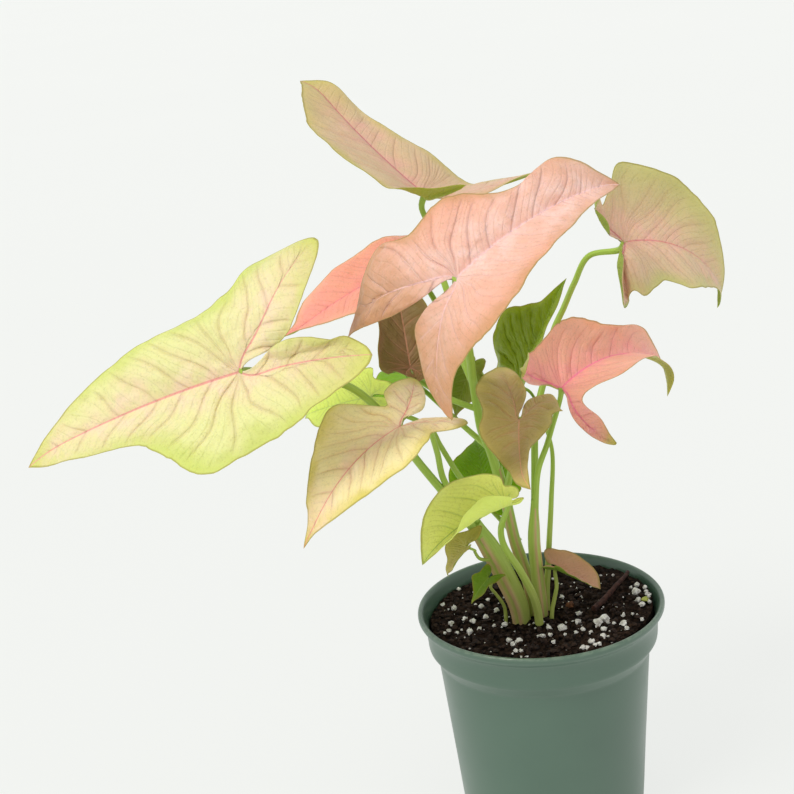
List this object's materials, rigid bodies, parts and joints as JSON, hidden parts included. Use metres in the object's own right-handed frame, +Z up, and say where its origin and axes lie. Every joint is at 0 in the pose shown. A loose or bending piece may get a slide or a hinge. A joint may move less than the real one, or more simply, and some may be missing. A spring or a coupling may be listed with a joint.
{
  "type": "potted arrowhead plant",
  "caption": "Arrowhead plant with pink, coral and lime arrow-shaped leaves on slender green petioles, growing in a tapered round green nursery pot filled with soil.",
  "frame": {"origin": "centre of the underside of the pot's base", "axes": "+Z up through the pot; -Y is the front, seen in the picture; +X is to its right"},
  "size_m": [0.3044, 0.1974, 0.3466],
  "materials": {
    "pot": "satin",
    "soil": "matte",
    "twig": "matte",
    "stem": "satin",
    "leaf_lime_pink": "satin",
    "leaf_pink": "satin",
    "leaf_coral": "satin",
    "leaf_tan": "satin",
    "leaf_olive": "satin",
    "leaf_lime": "satin",
    "leaf_green": "satin"
  },
  "bodies": {
    "root": {"pot": "pot", "soil": "soil", "twig": "twig", "shoot_left": "stem", "shoot_centre": "stem", "shoot_right": "stem", "petiole_front": "stem", "petiole_back": "stem", "petiole_base_green": "stem", "petiole_base_pink": "stem", "leaf_left_large": "leaf_lime_pink", "leaf_top": "leaf_tan", "leaf_centre_front": "leaf_pink", "leaf_right_high": "leaf_tan", "leaf_right_coral": "leaf_coral", "leaf_centre_low": "leaf_olive", "leaf_left_low": "leaf_tan", "leaf_back_dark": "leaf_green", "leaf_front_lime": "leaf_lime", "leaf_young_green": "leaf_green", "leaf_behind_lime": "leaf_lime", "leaf_behind_coral": "leaf_coral", "leaf_shaded": "leaf_olive", "leaf_inner_green": "leaf_green", "leaf_inner_olive": "leaf_olive", "leaf_base_olive": "leaf_olive", "leaf_base_green": "leaf_green", "leaf_base_pink": "leaf_tan"}
  },
  "joints": []
}
